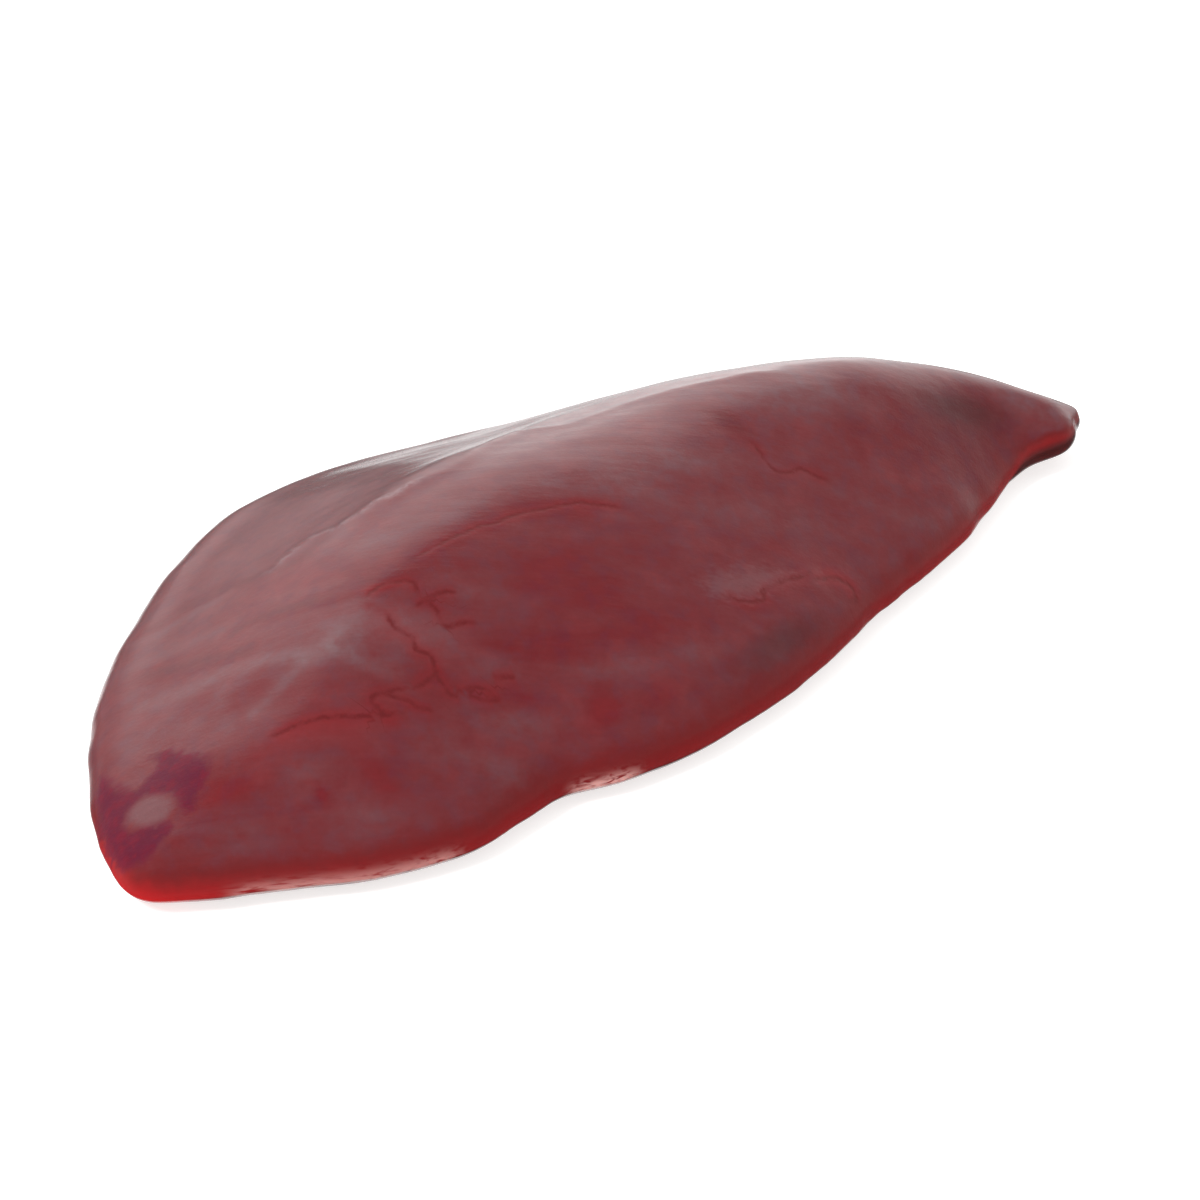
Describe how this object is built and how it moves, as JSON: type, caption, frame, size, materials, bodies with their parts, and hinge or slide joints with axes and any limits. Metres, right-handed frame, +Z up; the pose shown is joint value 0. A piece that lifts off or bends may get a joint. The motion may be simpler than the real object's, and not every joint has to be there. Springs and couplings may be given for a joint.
{
  "type": "raw horse liver",
  "caption": "One leaf-shaped lobe of raw liver, a low sagging slab with a rounded lip all round, lying flat on its underside.",
  "frame": {"origin": "on the surface the lobe lies on, under the middle of its outline", "axes": "+X from the broad blunt end to the thin tip, +Y towards the bowed back margin, +Z up through the thickness"},
  "size_m": [0.3516, 0.173, 0.0497],
  "materials": {
    "liver": "wet, smooth dark red capsule with a milky sheen"
  },
  "bodies": {
    "root": {"liver": "liver"}
  },
  "joints": []
}
